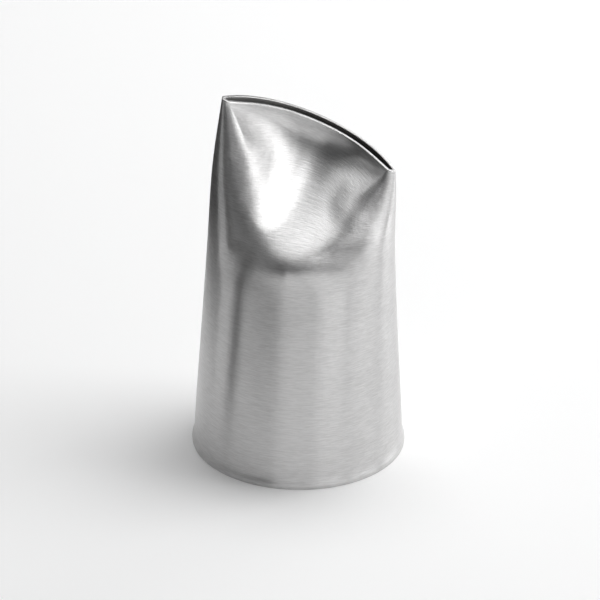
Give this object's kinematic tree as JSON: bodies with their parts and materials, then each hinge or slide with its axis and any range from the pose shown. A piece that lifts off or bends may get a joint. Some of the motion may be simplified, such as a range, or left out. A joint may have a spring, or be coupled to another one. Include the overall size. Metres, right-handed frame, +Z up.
{
  "type": "piping nozzle",
  "caption": "Brushed stainless piping nozzle pressed from one sheet, with a small flared lip at its round base and a slanted curved slit for ruffles and petals.",
  "frame": {"origin": "centre of the base ring, on the plane that the base rests on", "axes": "+Z up from the base to the mouth, -Y toward the side with the pressed bowl, +X toward the low end of the slanted mouth"},
  "size_m": [0.025, 0.025, 0.0416],
  "materials": {
    "steel": "brushed round the cone, satin"
  },
  "bodies": {
    "root": {"nozzle_body": "steel"}
  },
  "joints": []
}
